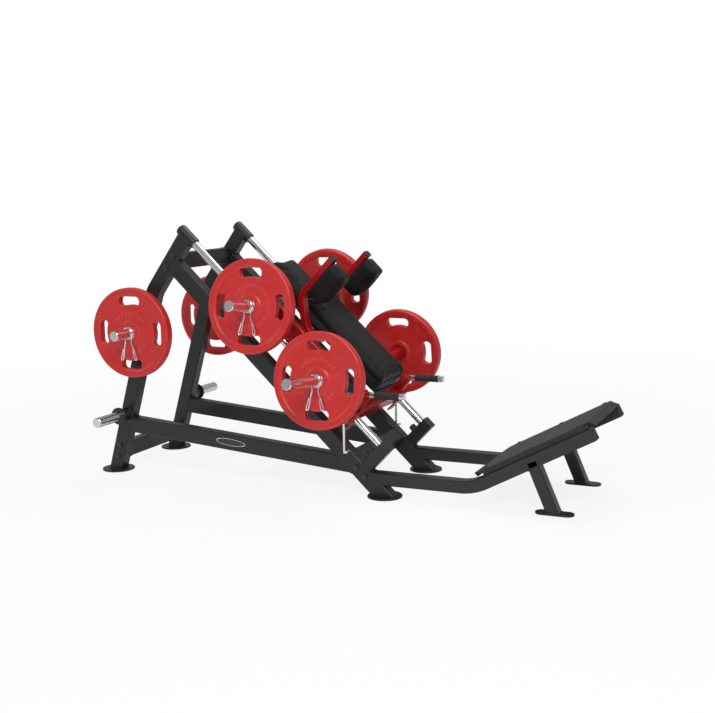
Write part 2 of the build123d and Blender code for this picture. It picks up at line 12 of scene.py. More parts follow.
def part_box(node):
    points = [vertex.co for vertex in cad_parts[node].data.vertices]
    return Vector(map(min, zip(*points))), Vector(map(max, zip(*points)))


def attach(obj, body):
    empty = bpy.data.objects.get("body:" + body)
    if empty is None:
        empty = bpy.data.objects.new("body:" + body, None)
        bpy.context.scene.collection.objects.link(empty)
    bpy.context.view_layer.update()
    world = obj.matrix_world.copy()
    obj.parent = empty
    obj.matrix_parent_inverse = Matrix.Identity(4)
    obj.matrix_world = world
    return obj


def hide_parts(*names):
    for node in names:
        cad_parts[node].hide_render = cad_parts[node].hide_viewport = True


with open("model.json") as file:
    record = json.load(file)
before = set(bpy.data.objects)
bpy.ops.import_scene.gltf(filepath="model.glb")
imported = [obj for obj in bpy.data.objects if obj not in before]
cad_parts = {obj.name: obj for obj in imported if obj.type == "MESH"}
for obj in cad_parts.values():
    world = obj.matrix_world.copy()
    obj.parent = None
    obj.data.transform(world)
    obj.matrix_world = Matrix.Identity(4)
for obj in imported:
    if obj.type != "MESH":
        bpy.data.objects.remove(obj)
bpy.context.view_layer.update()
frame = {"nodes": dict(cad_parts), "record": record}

nodes = frame["nodes"]
sides = {"right": -1, "left": 1}

# Where the machine's own measures start: stations run along the floor from the rear feet,
# and the slope's t runs down the guide rods while n stands off them.
layout = {"padRadius": 0.083, "gauge": 0.268, "slopeAngle": 43.8, "slopeStart": (0.8447, 0.8810),
          "rampAngle": 28.0, "rampStart": (1.969, 0.088), "tubeWide": 0.062}
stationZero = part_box("floor_pads")[0].x + layout["padRadius"]
slopeAngle = radians(layout["slopeAngle"])
rampAngle = radians(layout["rampAngle"])


def station(x, y, z):
    return Vector((x + stationZero, y, z))


def slopeMatrix():
    down = Vector((cos(slopeAngle), 0, -sin(slopeAngle)))
    out = Vector((sin(slopeAngle), 0, cos(slopeAngle)))
    start = station(layout["slopeStart"][0], 0, layout["slopeStart"][1])
    return Matrix.Translation(start) @ Matrix((down, (0, 1, 0), out)).transposed().to_4x4()


onSlope = slopeMatrix()


class Wire:
    # one output of a shader node, so that shader maths reads as plain sums
    def __init__(self, finish, socket):
        self.finish = finish
        self.socket = socket

    def maths(self, operation, first, second, clamp=False):
        settings = {"operation": operation, "use_clamp": clamp}
        return self.finish.node("Math", settings, {0: first, 1: second})

    def __add__(self, other):
        return self.maths("ADD", self, other)

    def __radd__(self, other):
        return self.maths("ADD", other, self)

    def __sub__(self, other):
        return self.maths("SUBTRACT", self, other)

    def __rsub__(self, other):
        return self.maths("SUBTRACT", other, self)

    def __mul__(self, other):
        return self.maths("MULTIPLY", self, other)

    def __rmul__(self, other):
        return self.maths("MULTIPLY", other, self)

    def __truediv__(self, other):
        return self.maths("DIVIDE", self, other)

    def __rtruediv__(self, other):
        return self.maths("DIVIDE", other, self)

    def __pow__(self, other):
        return self.maths("POWER", self, other)

    def clipped(self):
        return self.maths("ADD", self, 0.0, clamp=True)


class Finish:
    # one material, with its node tree and its main shader
    def __init__(self, name, **constants):
        self.material = bpy.data.materials.new(name)
        self.material.use_nodes = True
        self.tree = self.material.node_tree
        self.shader = self.tree.nodes["Principled BSDF"]
        for socket, value in constants.items():
            self.set(socket.replace("_", " "), value)
        self.place = self.node("TexCoord", {}, {}, "Object")

    def node(self, kind, settings, inputs, output=0):
        made = self.tree.nodes.new("ShaderNode" + kind)
        for key, value in settings.items():
            if key == "stops":
                self.fillRamp(made.color_ramp, value)
            else:
                setattr(made, key, value)
        for socket, value in inputs.items():
            self.plug(made.inputs[socket], value)
        return Wire(self, made.outputs[output])

    def plug(self, target, value):
        if isinstance(value, Wire):
            self.tree.links.new(value.socket, target)
        else:
            target.default_value = value

    def fillRamp(self, ramp, stops):
        while len(ramp.elements) < len(stops):
            ramp.elements.new(0.5)
        for element, (position, value) in zip(ramp.elements, stops):
            element.position = position
            element.color = (value, value, value, 1)

    def set(self, socket, value):
        if isinstance(value, tuple) and len(value) == 3:
            value = (*value, 1)
        self.plug(self.shader.inputs[socket], value)

    def noise(self, scale, detail=3.0, stretch=None):
        place = self.place
        if stretch:
            place = self.node("Mapping", {}, {"Vector": place, "Scale": stretch})
        return self.node("TexNoise", {}, {"Vector": place, "Scale": scale, "Detail": detail})

    def cells(self, scale, feature="DISTANCE_TO_EDGE"):
        settings = {"feature": feature}
        return self.node("TexVoronoi", settings, {"Vector": self.place, "Scale": scale})

    def ramp(self, value, *stops):
        return self.node("ValToRGB", {"stops": stops}, {"Fac": value})

    def blend(self, factor, first, second):
        settings = {"data_type": "RGBA"}
        first = (*first, 1) if isinstance(first, tuple) else first
        second = (*second, 1) if isinstance(second, tuple) else second
        return self.node("Mix", settings, {0: factor, 6: first, 7: second}, 2)

    def edges(self, radius):
        # near 1 where the surface turns a sharp corner, 0 on flat ground
        rounded = self.node("Bevel", {"samples": 4}, {"Radius": radius})
        flat = self.node("NewGeometry", {}, {}, "Normal")
        along = self.node("VectorMath", {"operation": "DOT_PRODUCT"}, {0: rounded, 1: flat}, "Value")
        return ((1 - along) * 9).clipped()

    def relief(self, *layers, softEdge=0.0):
        # each layer is a height between 0 and 1 and its depth in metres
        normal = None
        if softEdge:
            normal = self.node("Bevel", {"samples": 4}, {"Radius": softEdge})
        for height, depth in layers:
            inputs = {"Height": height, "Distance": depth, "Strength": 1.0}
            if normal:
                inputs["Normal"] = normal
            normal = self.node("Bump", {}, inputs)
        self.plug(self.shader.inputs["Normal"], normal)


def powderCoat(name, colour, wearAndHighlightColour, roughness, grain, softEdge):
    # baked paint: fine orange peel, slow cloudiness, rubbed corners that are partly a painted edge
    # highlight
    paint = Finish(name, Coat_Weight=0.12, Coat_Roughness=0.22)
    clouds = paint.noise(5.0, 4.0)
    peel = paint.noise(grain["peelScale"], 2.0)
    dust = paint.noise(38.0, 6.0)
    # corners blend towards a paler colour in patches: partly wear, partly a painted edge highlight
    wearAndHighlight = paint.edges(grain["wearAndHighlightWidth"]) * paint.ramp(dust, (0.45, 0.0), (0.62, 1.0))
    deep = tuple(0.78 * part for part in colour)
    lit = tuple(1.18 * part for part in colour)
    body = paint.blend(clouds, deep, lit)
    paint.set("Base Color", paint.blend(wearAndHighlight * grain["wearAndHighlightShare"], body, wearAndHighlightColour))
    paint.set("Roughness", roughness + 0.10 * (dust - 0.5) + 0.12 * wearAndHighlight)
    paint.relief((peel, grain["peelDepth"]), (dust, 0.00008), softEdge=softEdge)
    return paint.material


def chrome(name, tint, roughness, scratchStretch, scratch):
    # bright plating with fine wipe marks and a few dull patches
    plate = Finish(name, Metallic=1.0)
    wipes = plate.noise(60.0, 5.0, scratchStretch)
    patches = plate.noise(9.0, 3.0)
    hazy = plate.ramp(patches, (0.50, 0.0), (0.72, 1.0))
    dull = tuple(0.86 * part for part in tint)
    plate.set("Base Color", plate.blend(hazy * 0.6, tint, dull))
    plate.set("Roughness", roughness + scratch * wipes + 0.05 * hazy)
    plate.relief((wipes, 0.000004))
    return plate.material


def mouldedRubber(name, colour, highlightAndScuffColour, roughness):
    # coated disc: even colour, faint flow marks, a painted highlight on every rim and corner, and a few
    # chalky scuffs
    rubber = Finish(name, Specular_IOR_Level=0.5, Coat_Weight=0.18, Coat_Roughness=0.28)
    flow = rubber.noise(7.0, 5.0)
    fine = rubber.noise(420.0, 3.0)
    scuffs = rubber.ramp(rubber.noise(26.0, 8.0), (0.56, 0.0), (0.70, 1.0))
    # painted highlight: every rim and corner is coloured pale pink
    rim = rubber.edges(0.006)
    deep = tuple(0.84 * part for part in colour)
    body = rubber.blend(flow, deep, colour)
    rimHighlightAndScuffs = (rim * 0.55 + scuffs * 0.10).clipped()
    rubber.set("Base Color", rubber.blend(rimHighlightAndScuffs, body, highlightAndScuffColour))
    rubber.set("Roughness", roughness + 0.12 * (flow - 0.5) + 0.15 * scuffs)
    rubber.relief((fine, 0.00012), (flow, 0.0004), softEdge=0.0015)
    return rubber.material


def vinyl(name, colour, sheenColour):
    # upholstery vinyl: small irregular cells with painted shade in the crevices between them, slight pull
    # marks, sheen
    hide = Finish(name, Specular_IOR_Level=0.24, Sheen_Weight=0.03, Sheen_Roughness=0.5)
    hide.set("Sheen Tint", sheenColour)
    pebbles = hide.cells(620.0)
    crease = hide.noise(150.0, 4.0)
    clouds = hide.noise(11.0, 5.0)
    cell = hide.ramp(pebbles, (0.02, 0.0), (0.18, 1.0))
    deep = tuple(0.6 * part for part in colour)
    body = hide.blend(clouds, deep, colour)
    # painted shade: the crevices between the cells are coloured darker than their tops
    hide.set("Base Color", hide.blend(cell, tuple(0.45 * part for part in colour), body))
    hide.set("Roughness", 0.50 + 0.12 * (clouds - 0.5) - 0.06 * cell)
    hide.relief((cell, 0.00022), (crease, 0.0003), (clouds, 0.0012))
    return hide.material


def gripRubber(name, colour):
    soft = Finish(name, Specular_IOR_Level=0.35)
    dust = soft.noise(90.0, 6.0)
    fine = soft.noise(900.0, 2.0)
    soft.set("Base Color", soft.blend(dust, colour, tuple(2.2 * part for part in colour)))
    soft.set("Roughness", 0.68 + 0.2 * (dust - 0.5))
    soft.relief((fine, 0.0002), softEdge=0.0008)
    return soft.material


def gritPlate(name, colour, highlightAndScuffColour):
    # treaded plate paint: hard grit with scuffed high spots, and a painted highlight along every edge
    grit = Finish(name, Coat_Weight=0.08, Coat_Roughness=0.3)
    grains = grit.cells(330.0, "F1")
    clumps = grit.noise(60.0, 6.0)
    scuffs = grit.ramp(grit.noise(13.0, 8.0), (0.50, 0.0), (0.75, 1.0))
    body = grit.blend(clumps, tuple(0.7 * part for part in colour), colour)
    tops = grit.ramp(grains, (0.1, 1.0), (0.5, 0.0))
    # scuffed grit tops, plus a painted highlight along every edge
    grit.set("Base Color", grit.blend(tops * scuffs * 0.35 + grit.edges(0.002) * 0.4, body, highlightAndScuffColour))
    grit.set("Roughness", 0.56 + 0.18 * (clumps - 0.5) + 0.1 * scuffs)
    grit.relief((tops, 0.0005), (clumps, 0.0004), softEdge=0.0015)
    return grit.material


def machinedSteel(name, colour, roughness):
    steel = Finish(name, Metallic=0.9)
    turned = steel.noise(240.0, 3.0, (1.0, 6.0, 1.0))
    stain = steel.noise(70.0, 5.0)
    steel.set("Base Color", steel.blend(stain, tuple(0.6 * part for part in colour), colour))
    steel.set("Roughness", roughness + 0.18 * turned)
    steel.relief((turned, 0.00004), softEdge=0.0006)
    return steel.material


def paintedBoard(name, colour):
    board = Finish(name, Specular_IOR_Level=0.4)
    streaks = board.noise(22.0, 8.0, (0.12, 1.0, 1.0))
    fibres = board.noise(300.0, 3.0, (0.08, 1.0, 1.0))
    board.set("Base Color", board.blend(streaks, tuple(0.5 * part for part in colour), colour))
    board.set("Roughness", 0.62 + 0.2 * (streaks - 0.5))
    board.relief((fibres, 0.0002), (streaks, 0.0003), softEdge=0.001)
    return board.material


print("mixing finishes")
coatGrain = {"peelScale": 620.0, "peelDepth": 0.00010, "wearAndHighlightWidth": 0.0022, "wearAndHighlightShare": 0.35}
redGrain = {"peelScale": 520.0, "peelDepth": 0.00007, "wearAndHighlightWidth": 0.0022, "wearAndHighlightShare": 0.30}
looks = {
    "frame_paint": powderCoat("framePaint", (0.0125, 0.0128, 0.0132), (0.10, 0.10, 0.104), 0.37,
                              coatGrain, 0.0016),
    "foot_plate_paint": gritPlate("footPlatePaint", (0.014, 0.014, 0.0145), (0.09, 0.09, 0.09)),
    "rod_chrome": chrome("rodChrome", (0.90, 0.91, 0.92), 0.06, (1.0, 1.0, 1.0), 0.03),
    "horn_chrome": chrome("hornChrome", (0.84, 0.84, 0.86), 0.09, (1.0, 8.0, 1.0), 0.14),
    "wire_chrome": chrome("wireChrome", (0.88, 0.88, 0.90), 0.10, (1.0, 1.0, 1.0), 0.08),
    "handle_steel": chrome("handleSteel", (0.80, 0.80, 0.82), 0.14, (1.0, 1.0, 1.0), 0.10),
    "bolt_steel": machinedSteel("boltSteel", (0.10, 0.10, 0.105), 0.34),
    "bearing_steel": machinedSteel("bearingSteel", (0.6, 0.6, 0.62), 0.25),
    "carriage_paint": powderCoat("carriagePaint", (0.36, 0.003, 0.004), (0.50, 0.06, 0.05), 0.28,
                                 redGrain, 0.0016),
    "pad_vinyl": vinyl("padVinyl", (0.0058, 0.0058, 0.0060), (0.5, 0.52, 0.54)),
    "board_wood": paintedBoard("boardPaint", (0.030, 0.028, 0.027)),
    "disc_rubber": mouldedRubber("discRubber", (0.60, 0.015, 0.015), (0.78, 0.13, 0.12), 0.42),
    "bumper_rubber": gripRubber("bumperRubber", (0.018, 0.018, 0.018)),
    "grip_rubber": gripRubber("gripRubber", (0.014, 0.014, 0.015)),
    "plug_plastic": gripRubber("plugPlastic", (0.020, 0.020, 0.021)),
}
slotOf = {row["node"]: row["material_slot"] for row in frame["record"]["subparts"]}
for name, piece in nodes.items():
    piece.data.materials.clear()
    piece.data.materials.append(looks[slotOf[name]])


def softenByAngle(mesh, limit):
    # smooth shading with sharp edges kept where faces meet at more than the limit
    work = bmesh.new()
    work.from_mesh(mesh)
    for face in work.faces:
        face.smooth = True
    for edge in work.edges:
        edge.smooth = len(edge.link_faces) != 2 or edge.calc_face_angle(0.0) < limit
    work.to_mesh(mesh)
    work.free()


def keep(mesh, name, slot, body, limit=radians(35)):
    softenByAngle(mesh, limit)
    piece = bpy.data.objects.new(name, mesh)
    bpy.context.scene.collection.objects.link(piece)
    mesh.materials.clear()
    mesh.materials.append(looks[slot])
    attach(piece, body)
    return piece


def lathe(points, turns, closed=True):
    # turns a list of (radius, height) round Z; the last point joins the first when closed
    work = bmesh.new()
    rings = []
    for step in range(turns):
        angle = tau * step / turns
        rings.append([work.verts.new((r * cos(angle), r * sin(angle), z)) for r, z in points])
    count = len(points) if closed else len(points) - 1
    for step in range(turns):
        here = rings[step]
        there = rings[(step + 1) % turns]
        for k in range(count):
            after = (k + 1) % len(points)
            corners = [here[k], there[k], there[after], here[after]]
            work.faces.new(corners)
    if not closed:
        work.faces.new([ring[0] for ring in rings])
        work.faces.new([ring[-1] for ring in rings])
    bmesh.ops.recalc_face_normals(work, faces=work.faces)
    mesh = bpy.data.meshes.new("turned")
    work.to_mesh(mesh)
    work.free()
    return mesh


def tubeAlong(points, radius, sides=12, loop=False, smoothLine=True):
    # a round bar that follows a NURBS line through the given control points
    line = bpy.data.curves.new("line", "CURVE")
    line.dimensions = "3D"
    spline = line.splines.new("NURBS" if smoothLine else "POLY")
    spline.points.add(len(points) - 1)
    for target, point in zip(spline.points, points):
        target.co = (*point, 1)
    if smoothLine:
        spline.order_u = 3
        spline.use_endpoint_u = not loop
        spline.resolution_u = 6
    spline.use_cyclic_u = loop
    line.bevel_depth = radius
    line.bevel_resolution = max(1, sides // 4 - 1)
    line.use_fill_caps = not loop
    holder = bpy.data.objects.new("line", line)
    bpy.context.scene.collection.objects.link(holder)
    bpy.context.view_layer.update()
    mesh = bpy.data.meshes.new_from_object(holder.evaluated_get(bpy.context.evaluated_depsgraph_get()))
    bpy.data.objects.remove(holder)
    bpy.data.curves.remove(line)
    return mesh


def joined(*meshes):
    work = bmesh.new()
    for mesh in meshes:
        work.from_mesh(mesh)
    mesh = bpy.data.meshes.new("joined")
    work.to_mesh(mesh)
    work.free()
    return mesh


def moved(mesh, matrix):
    copy = mesh.copy()
    copy.transform(matrix)
    if matrix.determinant() < 0:
        copy.flip_normals()
    return copy


def applyModifiers(piece):
    bpy.context.view_layer.update()
    evaluated = piece.evaluated_get(bpy.context.evaluated_depsgraph_get())
    mesh = bpy.data.meshes.new_from_object(evaluated)
    piece.modifiers.clear()
    old = piece.data
    piece.data = mesh
    bpy.data.meshes.remove(old)
    return mesh


def roundedBlock(x0, x1, y0, y1, z0, z1, radius, segments=3):
    work = bmesh.new()
    bmesh.ops.create_cube(work, size=1.0)
    for vert in work.verts:
        vert.co.x = x1 if vert.co.x > 0 else x0
        vert.co.y = y1 if vert.co.y > 0 else y0
        vert.co.z = z1 if vert.co.z > 0 else z0
    bmesh.ops.bevel(work, geom=work.edges[:], offset=radius, segments=segments, profile=0.5,
                    affect="EDGES")
    mesh = bpy.data.meshes.new("block")
    work.to_mesh(mesh)
    work.free()
    return mesh


disc = {"radius": 0.225, "thick": 0.048, "rim": 0.030, "recess": 0.006, "hub": 0.056, "bore": 0.0285,
        "slotMiddle": 0.157, "slotLong": 0.122, "slotHigh": 0.050, "slotInner": 0.140,
        "slotCorner": 0.022, "edgeRound": 0.010, "turns": 128, "marks": 9, "markRing": 0.098}
sleeve = {"inner": 0.0256, "outer": 0.0285, "lip": 0.0312, "lipHigh": 0.0012}


def arcPoints(centre, radius, start, end, count):
    found = []
    for step in range(count + 1):
        angle = start + (end - start) * step / count
        found.append((centre[0] + radius * cos(angle), centre[1] + radius * sin(angle)))
    return found


def discSection():
    # half of the section from the bore to the rim on the outer face, then mirrored for the inner face
    web = disc["radius"] - disc["rim"]
    low = -disc["recess"]
    half = [(disc["bore"], -0.0015), (disc["bore"] + 0.0015, 0.0), (disc["hub"] - 0.002, 0.0),
            (disc["hub"], -0.0008), (disc["hub"] + 0.006, low + 0.0008), (disc["hub"] + 0.009, low),
            (web - 0.009, low), (web - 0.006, low + 0.0008), (web, -0.0008), (web + 0.003, 0.0)]
    rounding = disc["edgeRound"]
    corner = (disc["radius"] - rounding, -rounding)
    half += arcPoints(corner, rounding, pi / 2, 0.0, 7)
    back = [(r, -disc["thick"] - z) for r, z in reversed(half)]
    return half + back


def gripSlotOutline():
    # a rounded window whose inner side follows the hub
    reach = disc["slotHigh"] / 2
    half = disc["slotLong"] / 2
    corner = disc["slotCorner"]
    middle = disc["slotMiddle"]
    points = []
    points += arcPoints((middle + reach - corner, half - corner), corner, 0.0, pi / 2, 8)
    points += arcPoints((middle - reach + corner, half - corner), corner, pi / 2, pi * 0.93, 7)
    bow = asin((half - 1.55 * corner) / disc["slotInner"])
    points += arcPoints((0, 0), disc["slotInner"], bow, -bow, 12)
    points += arcPoints((middle - reach + corner, corner - half), corner, pi * 1.07, pi * 1.5, 7)
    points += arcPoints((middle + reach - corner, corner - half), corner, pi * 1.5, tau, 8)
    return points


def prism(outline, low, high):
    work = bmesh.new()
    bottom = [work.verts.new((x, y, low)) for x, y in outline]
    top = [work.verts.new((x, y, high)) for x, y in outline]
    work.faces.new(bottom)
    work.faces.new(top)
    for k in range(len(outline)):
        after = (k + 1) % len(outline)
        work.faces.new([bottom[k], bottom[after], top[after], top[k]])
    bmesh.ops.recalc_face_normals(work, faces=work.faces)
    mesh = bpy.data.meshes.new("prism")
    work.to_mesh(mesh)
    work.free()
    return mesh


def makeDisc():
    body = bpy.data.objects.new("discWork", lathe(discSection(), disc["turns"]))
    bpy.context.scene.collection.objects.link(body)
    cutters = []
    for quarter in range(4):
        window = prism(gripSlotOutline(), -disc["thick"] - 0.01, 0.01)
        window.transform(Matrix.Rotation(quarter * pi / 2, 4, "Z"))
        cutters.append(window)
    cutter = bpy.data.objects.new("discCut", joined(*cutters))
    bpy.context.scene.collection.objects.link(cutter)
    cut = body.modifiers.new("cut", "BOOLEAN")
    cut.operation = "DIFFERENCE"
    cut.object = cutter
    cut.solver = "EXACT"
    soften = body.modifiers.new("soften", "BEVEL")
    soften.width = 0.0032
    soften.segments = 3
    soften.limit_method = "ANGLE"
    soften.angle_limit = radians(50)
    mesh = applyModifiers(body)
    bpy.data.objects.remove(cutter)
    bpy.data.objects.remove(body)
    raised = []
    for mirrored in (1, -1):
        for k in range(disc["marks"]):
            angle = mirrored * radians(90) + radians(13) * (k - (disc["marks"] - 1) / 2)
            block = roundedBlock(-0.0035, 0.0035, -0.0065, 0.0065, -0.002, 0.0011, 0.0009, 2)
            block.transform(Matrix.Rotation(angle, 4, "Z")
                            @ Matrix.Translation((disc["markRing"], 0, -disc["recess"]))
                            @ Matrix.Rotation(pi / 2, 4, "Z"))
            raised.append(block)
    return joined(mesh, *raised)


def makeSleeve():
    thick = disc["thick"]
    high = sleeve["lipHigh"]
    points = [(sleeve["inner"], high), (sleeve["lip"], high), (sleeve["lip"], 0.0), (sleeve["outer"], 0.0),
              (sleeve["outer"], -thick), (sleeve["lip"], -thick), (sleeve["lip"], -thick - high / 4),
              (sleeve["inner"], -thick - high / 4)]
    return lathe(points, 64)


clip = {"wire": 0.0030, "coil": 0.0287, "turns": 2.6, "pitch": 0.0066, "start": 0.0045, "drop": 0.140,
        "splay": 15.0, "loop": 0.0062, "loopLong": 0.062}


def makeClip():
    # a coil of spring wire whose two ends hang down and fold back into finger loops
    splay = radians(clip["splay"])
    coilRadius = clip["coil"]
    leave = radians(62)
    steps = 44
    start = -pi / 2 + leave
    sweep = tau * clip["turns"] - 2 * leave + tau * (1 - clip["turns"] % 1)
    coil = []
    for k in range(steps + 1):
        share = k / steps
        angle = start + sweep * share
        coil.append((coilRadius * cos(angle), coilRadius * sin(angle), clip["start"] + clip["pitch"]
                     * clip["turns"] * share))

    def leg(direction, depth):
        # from the coil's end down, round the foot of the loop and back up beside itself
        foot = Vector((direction * sin(splay), -cos(splay), 0))
        beside = Vector((direction * cos(splay), sin(splay), 0))
        root = Vector((direction * 0.008, -coilRadius - 0.004, depth))
        end = foot * clip["drop"]
        loop = clip["loop"]
        full = clip["loopLong"]
        return [root, root.lerp(end, 0.35) + Vector((0, 0, 0)), end - foot * full - beside * 0.001,
                end - foot * full * 0.5 - beside * loop * 0.9, end - foot * loop - beside * loop,
                end, end - foot * loop + beside * loop, end - foot * full * 0.5 + beside * loop * 0.9,
                end - foot * full * 0.96 + beside * 0.0045]

    first = [Vector(point) + Vector((0, 0, coil[0][2])) for point in leg(1, 0.0)]
    last = [Vector(point) + Vector((0, 0, coil[-1][2])) for point in leg(-1, 0.0)]
    return tubeAlong(list(reversed(first)) + coil + last, clip["wire"], sides=12)


def hornFrame(node, side, outward, tilt):
    # outer face of the disc as the CAD places it: middle of its box, moved out by half its thickness
    low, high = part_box(node)
    middle = (low + high) / 2
    axis = Vector((0, sides[side] * cos(tilt), sin(tilt)))
    start = middle + axis * disc["thick"] / 2
    along = Vector((1, 0, 0))
    return Matrix.Translation(start) @ Matrix((along, axis.cross(along), axis)).transposed().to_4x4()


print("turning discs and winding clips")
hornTilt = radians(6.3)
discMesh = makeDisc()
sleeveMesh = makeSleeve()
clipMesh = makeClip()
tilts = {"storage": 0.0, "upper": hornTilt, "lower": hornTilt}
for side, sign in sides.items():
    for where, tilt in tilts.items():
        node = where + "_disc_" + side
        place = hornFrame(node, side, sign, tilt)
        piece = keep(moved(discMesh, place), where + "Disc." + side, "disc_rubber", node)
        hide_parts(node)
        keep(moved(sleeveMesh, place), where + "DiscSleeve." + side, "handle_steel", node)
        hang = Matrix.Identity(4) if sign < 0 else Matrix.Rotation(pi, 4, "Z")
        node = where + "_clip_" + side
        wire = keep(moved(clipMesh, place @ hang), where + "Clip." + side, "wire_chrome", node)
        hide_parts(node)


cushion = {"voxel": 0.006, "pressure": 4.0, "frames": 20, "cap": 0.010, "shrink": 0.006,
           "seamDepth": 0.0028, "seamWide": 0.0045, "welt": 0.0017,
           "seamLift": 0.60, "seamCorner": 0.024, "backing": 0.006, "fill": 0.8}


def puffed(source, cap, pinAt):
    # swells a plain cushion like a stuffed cover; its back stays flat on its board
    work = bpy.data.objects.new("cushionWork", source)
    bpy.context.scene.collection.objects.link(work)
    remesh = work.modifiers.new("cover", "REMESH")
    remesh.mode = "VOXEL"
    remesh.voxel_size = cushion["voxel"]
    applyModifiers(work)
    rest = [vert.co.copy() for vert in work.data.vertices]
    pinned = work.vertex_groups.new(name="board")
    pinned.add([k for k, co in enumerate(rest) if pinAt(co)], 1.0, "ADD")
    cloth = work.modifiers.new("swell", "CLOTH")
    cloth.settings.use_pressure = True
    cloth.settings.uniform_pressure_force = cushion["pressure"]
    cloth.settings.effector_weights.gravity = 0
    cloth.settings.vertex_group_mass = "board"
    cloth.settings.quality = 4
    cloth.settings.tension_stiffness = 12
    cloth.settings.compression_stiffness = 12
    cloth.point_cache.frame_start = 1
    cloth.point_cache.frame_end = cushion["frames"]
    for number in range(1, cushion["frames"] + 1):
        bpy.context.scene.frame_set(number)
    mesh = applyModifiers(work)
    for vert, start in zip(mesh.vertices, rest):
        step = vert.co - start
        if step.length > cap:
            vert.co = start + step.normalized() * cap
    bpy.context.scene.frame_set(1)
    smooth = work.modifiers.new("smooth", "SMOOTH")
    smooth.factor = 0.5
    smooth.iterations = 3
    finer = work.modifiers.new("finer", "SUBSURF")
    finer.levels = 1
    mesh = applyModifiers(work)
    bpy.data.objects.remove(work)
    return mesh


def nodeInSlope(node, shrink):
    # a copy of a CAD cushion laid flat in the slope's own axes and drawn in a little
    mesh = nodes[node].data.copy()
    mesh.transform(onSlope.inverted())
    middle = sum((vert.co for vert in mesh.vertices), Vector()) / len(mesh.vertices)
    work = bmesh.new()
    work.from_mesh(mesh)
    bmesh.ops.remove_doubles(work, verts=work.verts, dist=0.00005)
    work.to_mesh(mesh)
    work.free()
    spans = [max(vert.co[k] for vert in mesh.vertices) - min(vert.co[k] for vert in mesh.vertices)
             for k in range(3)]
    for vert in mesh.vertices:
        for k in range(3):
            vert.co[k] = middle[k] + (vert.co[k] - middle[k]) * (1 - shrink / spans[k])
    return mesh


def pinchSeam(mesh, seams):
    # draws the cover in along each seam line
    if not seams:
        return []
    wide = cushion["seamWide"]
    tree = BVHTree.FromPolygons([vert.co for vert in mesh.vertices],
                                [tuple(face.vertices) for face in mesh.polygons])
    laid = []
    for seam in seams:
        laid.append([tree.find_nearest(Vector(point))[0] for point in seam])
    every = [point for line in laid for point in line]
    near = KDTree(len(every))
    for k, point in enumerate(every):
        near.insert(point, k)
    near.balance()
    for vert in mesh.vertices:
        away = near.find(vert.co)[2]
        if away < 3 * wide:
            vert.co -= vert.normal * cushion["seamDepth"] * math.exp(-(away / wide) ** 2)
    return laid


def loopOutline(t0, t1, half, corner, n, spacing=0.004):
    # points evenly round a rounded rectangle at one height over the board
    corners = [((t1 - corner, half - corner), 0.0), ((t0 + corner, half - corner), pi / 2),
               ((t0 + corner, corner - half), pi), ((t1 - corner, corner - half), 1.5 * pi)]
    outline = []
    for centre, start in corners:
        outline += arcPoints(centre, corner, start, start + pi / 2, 10)
    filled = []
    for k, here in enumerate(outline):
        there = outline[(k + 1) % len(outline)]
        gap = hypot(there[0] - here[0], there[1] - here[1])
        count = max(1, int(gap / spacing))
        for step in range(count):
            share = step / count
            along = here[0] + (there[0] - here[0]) * share
            across = here[1] + (there[1] - here[1]) * share
            filled.append((along, across, n))
    return filled


def finishCushion(mesh, name, node, seams, cap, pinAt):
    mesh = puffed(mesh, cap, pinAt)
    laid = pinchSeam(mesh, seams)
    mesh.transform(onSlope)
    piece = keep(mesh, name, "pad_vinyl", "carriage", radians(70))
    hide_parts(node)
    welts = [tubeAlong(line[::2], cushion["welt"], sides=8, loop=True) for line in laid]
    if welts:
        welt = joined(*welts)
        welt.transform(onSlope)
        keep(welt, name + "Welt", "pad_vinyl", "carriage", radians(70))
    return piece


print("stuffing cushions")
boardTop = 0.097
backPad = {"start": 0.135, "end": 0.702, "half": 0.150, "front": 0.195}
headPad = {"start": -0.125, "end": 0.122, "half": 0.105, "front": 0.180}
for name, node, pad in (("backPad", "back_pad", backPad), ("headPad", "head_pad", headPad)):
    seamHeight = boardTop + (pad["front"] - boardTop) * cushion["seamLift"]
    front = loopOutline(pad["start"], pad["end"], pad["half"], cushion["seamCorner"], seamHeight)
    finishCushion(nodeInSlope(node, cushion["shrink"]), name, node, [front], cushion["cap"],
                  lambda co: co.z < boardTop + cushion["backing"])

shoulder = {"backT": 0.151, "cap": 0.008}
for side, sign in sides.items():
    node = "shoulder_pad_" + side
    finishCushion(nodeInSlope(node, cushion["shrink"]), "shoulderPad." + side, node, [],
                  shoulder["cap"], lambda co: co.x < shoulder["backT"] + cushion["backing"])


grip = {"start": 1.482, "end": 1.606, "height": 0.478, "out": 0.257, "core": 0.0088, "body": 0.0158,
        "rib": 0.0012, "ribs": 17, "flange": 0.0178, "flangeLong": 0.005}


def makeGrip():
    length = grip["end"] - grip["start"]
    flange = grip["flangeLong"]
    points = [(grip["core"], 0.0), (grip["flange"] - 0.001, 0.0), (grip["flange"], 0.001),
              (grip["flange"], flange), (grip["body"], flange + 0.0015)]
    pitch = (length - 2 * flange - 0.003) / grip["ribs"]
    for k in range(grip["ribs"]):
        start = flange + 0.0015 + k * pitch
        points += [(grip["body"] + grip["rib"], start + pitch * 0.25),
                   (grip["body"] + grip["rib"], start + pitch * 0.7), (grip["body"], start + pitch)]
    points += [(grip["flange"], length - flange), (grip["flange"], length - 0.001),
               (grip["flange"] - 0.001, length), (grip["core"], length)]
    return lathe(points, 40)


